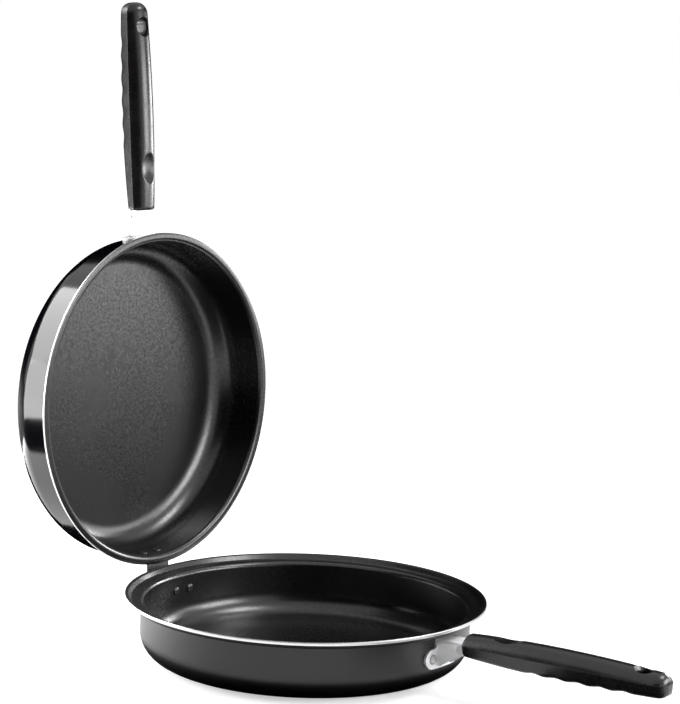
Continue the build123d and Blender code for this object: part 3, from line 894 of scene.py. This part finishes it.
def hole_cutter(s):
    """Cutter for the hang hole, flared on the crown and chamfered below."""
    x = s.long - s.hole_setback
    flare = s.hole_flare - grip_top(s, x / s.long)
    chamfer = grip_bottom(s, x / s.long) - s.hole_chamfer
    far = 2 * s.hole
    slope = s.hole_spread / s.hole_flare
    flare_round = 4.0 * MM
    chamfer_round = 2.0 * MM
    outline = filleted([
        (0, flare - far, 0),
        (s.hole + far * slope, flare - far, 0),
        (s.hole, flare, flare_round),
        (s.hole, chamfer, chamfer_round),
        (s.hole + far, chamfer + far, 0),
        (0, chamfer + far, 0),
    ], 6)
    place = Matrix.Translation((x, 0, 0))
    return spun("hole_cutter", [(outline, 0)], (), place, CUTTER_SEGMENTS)


class FLIPPAN_OT_grips(bpy.types.Operator):
    """Mould both grips, with finger waves, thumb rest and hang hole"""

    bl_idname = "flippan.grips"
    bl_label = "Grips"

    def execute(self, context):
        s = context.scene.grip_sizes
        moulded = moulded_finish("moulded_black", tuple(context.scene.finishes.grip))
        vertices, faces = grip_mesh(s)
        cutter = hole_cutter(s)
        for pan in PAN_NAMES:
            piece = new_object(f"{pan}_grip", vertices, faces, None, (moulded,))
            drill = piece.modifiers.new("hang hole", "BOOLEAN")
            drill.object = cutter
            drill.operation = "DIFFERENCE"
            drill.solver = "EXACT"
            applied(piece)
            piece.data.transform(grip_place(pan))
            # The lower pan's place is a mirrored one, which turns the faces inward.
            if pan == "lower":
                piece.data.flip_normals()
            piece.data.shade_smooth()
            piece.data.set_sharp_from_angle(angle=radians(GRIP_SHARP))
            seated(piece, pan, "grip", f"{pan}_handle_grip")
        bpy.data.objects.remove(cutter)
        return {"FINISHED"}


# ---- Brackets, hinge and screws ----

class FLIPPAN_OT_brackets(bpy.types.Operator):
    """Press both handle brackets from bright steel"""

    bl_idname = "flippan.brackets"
    bl_label = "Handle brackets"

    def execute(self, context):
        tone = tuple(context.scene.finishes.steel)
        steel = steel_finish("bright_steel", tone, BRACKET_HAZE)
        bracket_edge = 0.45 * MM
        for pan in PAN_NAMES:
            node = f"{pan}_handle_bracket"
            piece = copied(node, f"{pan}_bracket", steel)
            softened(piece, bracket_edge, 3)
            seated(piece, pan, "bracket", node)
        return {"FINISHED"}


class FLIPPAN_OT_hinge(bpy.types.Operator):
    """Coat the hinge leaves and finish the hinge pin and the grip screws"""

    bl_idname = "flippan.hinge"
    bl_label = "Hinge and screws"

    def execute(self, context):
        tones = context.scene.finishes
        coated = coated_finish("black_coat", tuple(tones.coat))
        tone = darker(tuple(tones.steel), SCREW_TONE)
        plain = steel_finish("plain_steel", tone, SCREW_HAZE)
        leaf_edge = 0.3 * MM
        turned_edge = 0.25 * MM
        for pan in PAN_NAMES:
            leaf = copied(f"{pan}_hinge_leaf", f"{pan}_leaf", coated)
            softened(leaf, leaf_edge, 2)
            seated(leaf, pan, "hinge", f"{pan}_hinge_leaf")
            screw = copied(f"{pan}_grip_screw", f"{pan}_screw", plain)
            softened(screw, turned_edge, 2)
            seated(screw, pan, "screws", f"{pan}_grip_screw")
        pin = copied("hinge_pin", "pin", plain)
        softened(pin, turned_edge, 2)
        seated(pin, "lower", "hinge_pin", "hinge_pin")
        return {"FINISHED"}


# ---- Rivets ----

def rivet_tree():
    """Geometry Nodes that put a domed rivet head on every point."""
    tree = bpy.data.node_groups.new("rivet_heads", "GeometryNodeTree")
    sockets = (
        ("Geometry", "INPUT", "Geometry"),
        ("Head Radius", "INPUT", "Float"),
        ("Head Height", "INPUT", "Float"),
        ("Finish", "INPUT", "Material"),
        ("Geometry", "OUTPUT", "Geometry"),
    )
    for name, way, kind in sockets:
        tree.interface.new_socket(name, in_out=way, socket_type=f"NodeSocket{kind}")
    add = tree.nodes.new
    entry = add("NodeGroupInput")
    result = add("NodeGroupOutput")
    ball = add("GeometryNodeMeshUVSphere")
    ball.inputs["Segments"].default_value = RIVET_SEGMENTS
    ball.inputs["Rings"].default_value = RIVET_RINGS
    ball.inputs["Radius"].default_value = 1.0
    size = add("ShaderNodeCombineXYZ")
    facing = add("GeometryNodeInputNamedAttribute")
    facing.data_type = "FLOAT_VECTOR"
    facing.inputs["Name"].default_value = "facing"
    turn = add("FunctionNodeAlignRotationToVector")
    turn.axis = "Z"
    spread = add("GeometryNodeInstanceOnPoints")
    real = add("GeometryNodeRealizeInstances")
    smooth = add("GeometryNodeSetShadeSmooth")
    paint = add("GeometryNodeSetMaterial")
    links = (
        (entry, "Head Radius", size, "X"),
        (entry, "Head Radius", size, "Y"),
        (entry, "Head Height", size, "Z"),
        (facing, "Attribute", turn, "Vector"),
        (entry, "Geometry", spread, "Points"),
        (ball, "Mesh", spread, "Instance"),
        (turn, "Rotation", spread, "Rotation"),
        (size, "Vector", spread, "Scale"),
        (spread, "Instances", real, "Geometry"),
        (real, "Geometry", smooth, "Geometry"),
        (smooth, "Geometry", paint, "Geometry"),
        (entry, "Finish", paint, "Material"),
        (paint, "Geometry", result, "Geometry"),
    )
    for source, output, target, socket in links:
        tree.links.new(source.outputs[output], target.inputs[socket])
    return tree


def rivet_places(pan, side, faces):
    """Seats and directions of rivet heads, in the part's frame.

    The side is 1 at the bracket and -1 at the hinge.
    """
    scene = bpy.context.scene
    s = scene.pan_sizes
    r = scene.rivet_sizes
    wall = s.lower_wall if pan == "lower" else s.upper_wall
    spacing = r.handle_spacing if side > 0 else r.hinge_spacing
    depths = {
        ("lower", 1): r.lower_handle, ("upper", 1): r.upper_handle,
        ("lower", -1): r.lower_hinge, ("upper", -1): r.upper_hinge,
    }
    outer = wall + s.sheet + (r.bracket if side > 0 else r.plate)
    seats = []
    for sign in (-1, 1):
        angle = asin(spacing / 2 / (wall + s.sheet)) * sign
        outward = Vector((side * cos(angle), sin(angle), 0))
        level = Vector((0, 0, depths[pan, side]))
        if "inside" in faces:
            seats.append((outward * wall + level, -outward))
        if "outside" in faces:
            seats.append((outward * outer + level, outward))
    place = pan_place(pan)
    turn = place.to_3x3()
    return [(place @ point, turn @ direction) for point, direction in seats]


def rivet_piece(name, seats, tree, material):
    """Rivet heads of one body as one plain mesh."""
    sizes = bpy.context.scene.rivet_sizes
    mesh = bpy.data.meshes.new(name)
    mesh.from_pydata([tuple(point) for point, _ in seats], [], [])
    facing = mesh.attributes.new("facing", "FLOAT_VECTOR", "POINT")
    for item, (_, direction) in zip(facing.data, seats):
        item.vector = direction
    piece = linked(name, mesh)
    heads = piece.modifiers.new("heads", "NODES")
    heads.node_group = tree
    values = {
        "Head Radius": sizes.radius, "Head Height": sizes.height, "Finish": material,
    }
    for item in tree.interface.items_tree:
        if item.in_out == "INPUT" and item.name in values:
            heads[item.identifier] = values[item.name]
    return applied(piece)


class FLIPPAN_OT_rivets(bpy.types.Operator):
    """Set the rivet heads of the brackets and the hinge"""

    bl_idname = "flippan.rivets"
    bl_label = "Rivets"

    def execute(self, context):
        tones = context.scene.finishes
        coated = coated_finish("rivet_coat", tuple(tones.coat))
        # The bracket rivets' steel is painted darker than the brackets', as painted shade for
        # the shade round their heads.
        tone = darker(tuple(tones.steel), RIVET_PAINTED_SHADE)
        bright = steel_finish("rivet_steel_painted_shade", tone, RIVET_HAZE)
        tree = rivet_tree()
        for pan in PAN_NAMES:
            inside = rivet_places(pan, 1, ("inside",))
            inside += rivet_places(pan, -1, ("inside", "outside"))
            outside = rivet_places(pan, 1, ("outside",))
            dark = rivet_piece(f"{pan}_coated_rivets", inside, tree, coated)
            seated(dark, pan, "rivets", f"{pan}_hinge_rivets", f"{pan}_handle_rivets")
            light = rivet_piece(f"{pan}_bracket_rivets", outside, tree, bright)
            seated(light, pan, "bracket", f"{pan}_handle_rivets")
        return {"FINISHED"}


# ---- Studio ----

def seen_ray(tree):
    """1 for camera, glossy and transmission rays, and 0 for the rays that light."""
    path = tree.nodes.new("ShaderNodeLightPath")
    camera = Value(tree, path.outputs["Is Camera Ray"])
    glossy = Value(tree, path.outputs["Is Glossy Ray"])
    through = Value(tree, path.outputs["Is Transmission Ray"])
    both = camera.apply("MAXIMUM", camera, glossy)
    return both.apply("MAXIMUM", both, through)


def studio_world():
    """White surroundings to look at, and a softer level for the light they give."""
    world = bpy.data.worlds.new("studio")
    world.use_nodes = True
    tree = world.node_tree
    background = tree.nodes["Background"]
    background.inputs["Color"].default_value = (1.0, 1.0, 1.0, 1.0)
    strength = seen_ray(tree) * (1.0 - AMBIENT) + AMBIENT
    tree.links.new(strength.socket, background.inputs["Strength"])
    bpy.context.scene.world = world


def floor_material():
    """White floor that keeps the shadow, and is lifted to white where it is seen."""
    material = bpy.data.materials.new("white_floor")
    material.use_nodes = True
    tree = material.node_tree
    tree.nodes.clear()
    matt = tree.nodes.new("ShaderNodeBsdfDiffuse")
    matt.inputs["Color"].default_value = (0.85, 0.85, 0.85, 1.0)
    glow = tree.nodes.new("ShaderNodeEmission")
    glow.inputs["Color"].default_value = (1.0, 1.0, 1.0, 1.0)
    place = tree.nodes.new("ShaderNodeTexCoord").outputs["Object"]
    reach = tree.nodes.new("ShaderNodeVectorMath")
    reach.operation = "LENGTH"
    tree.links.new(place, reach.inputs[0])
    away = Value(tree, reach.outputs["Value"]).smooth(*FLOOR_RISE)
    near, far = FLOOR_LIFT
    lift = away * (far - near) + near
    tree.links.new((seen_ray(tree) * lift).socket, glow.inputs["Strength"])
    both = tree.nodes.new("ShaderNodeAddShader")
    out = tree.nodes.new("ShaderNodeOutputMaterial")
    tree.links.new(matt.outputs[0], both.inputs[0])
    tree.links.new(glow.outputs[0], both.inputs[1])
    tree.links.new(both.outputs[0], out.inputs["Surface"])
    return material


def softbox(name, place, target, width, height, power, roll):
    """Rectangular area lamp that looks at a target, turned about its own line."""
    lamp = bpy.data.lights.new(name, "AREA")
    lamp.shape = "RECTANGLE"
    lamp.size = width
    lamp.size_y = height
    lamp.energy = power
    holder = linked(name, lamp)
    holder.location = place
    aim = Vector(target) - Vector(place)
    spin = Matrix.Rotation(radians(roll), 3, "Z")
    turn = aim.to_track_quat("-Z", "Y").to_matrix() @ spin
    holder.rotation_euler = turn.to_euler()
    holder.visible_camera = False


def black_card(name, place, facing, width, height, sides):
    """Black card beyond the picture that only shows in what is polished."""
    turn = Vector(facing).to_track_quat("Z", "Y").to_matrix().to_4x4()
    put = Matrix.Translation(place) @ turn
    reach = 0.5 / cos(pi / sides)
    angles = [2 * pi * (step + 0.5) / sides for step in range(sides)]
    spots = [
        put @ Vector((width * reach * cos(angle), height * reach * sin(angle), 0))
        for angle in angles]
    black = bpy.data.materials.new(name)
    black.use_nodes = True
    shader = black.node_tree.nodes["Principled BSDF"]
    shader.inputs["Base Color"].default_value = (0.0, 0.0, 0.0, 1.0)
    shader.inputs["Specular IOR Level"].default_value = 0.0
    card = new_object(name, spots, [tuple(range(sides))], None, (black,))
    card.visible_camera = False
    card.visible_diffuse = False
    card.visible_shadow = False


def studio_camera():
    """Camera a little above the rims, in front and to the right."""
    focal_pixels = 2175.8
    image_height = 704
    distance = 1.588
    azimuth = 0.636
    elevation = 0.1354
    roll = 0.036
    target = Vector((0.023284, 0.0, 0.233534))
    back = Vector((
        sin(azimuth) * cos(elevation), -cos(azimuth) * cos(elevation), sin(elevation)))
    level_right = (-back).cross(Vector((0, 0, 1))).normalized()
    level_up = level_right.cross(-back)
    right = cos(roll) * level_right + sin(roll) * level_up
    up = cos(roll) * level_up - sin(roll) * level_right
    camera = bpy.data.cameras.new("camera")
    camera.sensor_width = 36.0
    camera.lens = camera.sensor_width * focal_pixels / image_height
    holder = linked("camera", camera)
    turn = Matrix((right, up, back)).transposed()
    holder.matrix_world = Matrix.Translation(target + back * distance) @ turn.to_4x4()
    bpy.context.scene.camera = holder


class FLIPPAN_OT_stage(bpy.types.Operator):
    """Lay the floor, set the lamps and place the camera"""

    bl_idname = "flippan.stage"
    bl_label = "Studio"

    def execute(self, context):
        signs = ((-1, -1), (1, -1), (1, 1), (-1, 1))
        corners = [(x * FLOOR_HALF, y * FLOOR_HALF, 0) for x, y in signs]
        floor = new_object("floor", corners, [(0, 1, 2, 3)], None, (floor_material(),))
        studio_world()
        for lamp in LAMPS:
            softbox(*lamp)
        for card in CARDS:
            black_card(*card)
        studio_camera()
        context.scene.view_settings.view_transform = "Standard"
        return {"FINISHED"}


# ---- Panel and registration ----

class FLIPPAN_PT_panel(bpy.types.Panel):
    """Buttons for every group of pieces"""

    bl_idname = "FLIPPAN_PT_panel"
    bl_label = "Flip Pan"
    bl_space_type = "VIEW_3D"
    bl_region_type = "UI"
    bl_category = "Flip Pan"

    def draw(self, context):
        for operator in OPERATORS:
            self.layout.operator(operator.bl_idname)
        for group in GROUPS:
            values = getattr(context.scene, group)
            column = self.layout.column(align=True)
            for name in values.__annotations__:
                column.prop(values, name)


OPERATORS = (
    FLIPPAN_OT_pans,
    FLIPPAN_OT_grips,
    FLIPPAN_OT_brackets,
    FLIPPAN_OT_hinge,
    FLIPPAN_OT_rivets,
    FLIPPAN_OT_stage,
)
GROUPS = {
    "pan_sizes": PanSizes,
    "grip_sizes": GripSizes,
    "rivet_sizes": RivetSizes,
    "finishes": Finishes,
}


def register():
    """Adds the property groups, operators and panel to Blender."""
    for name, group in GROUPS.items():
        bpy.utils.register_class(group)
        setattr(bpy.types.Scene, name, bpy.props.PointerProperty(type=group))
    for item in (*OPERATORS, FLIPPAN_PT_panel):
        bpy.utils.register_class(item)


def unregister():
    """Takes them out again."""
    for item in (FLIPPAN_PT_panel, *reversed(OPERATORS)):
        bpy.utils.unregister_class(item)
    for name, group in GROUPS.items():
        delattr(bpy.types.Scene, name)
        bpy.utils.unregister_class(group)


def main():
    """Builds every piece in order."""
    register()
    for operator in OPERATORS:
        category, name = operator.bl_idname.split(".")
        getattr(getattr(bpy.ops, category), name)()


if __name__ == "__main__":
    main()
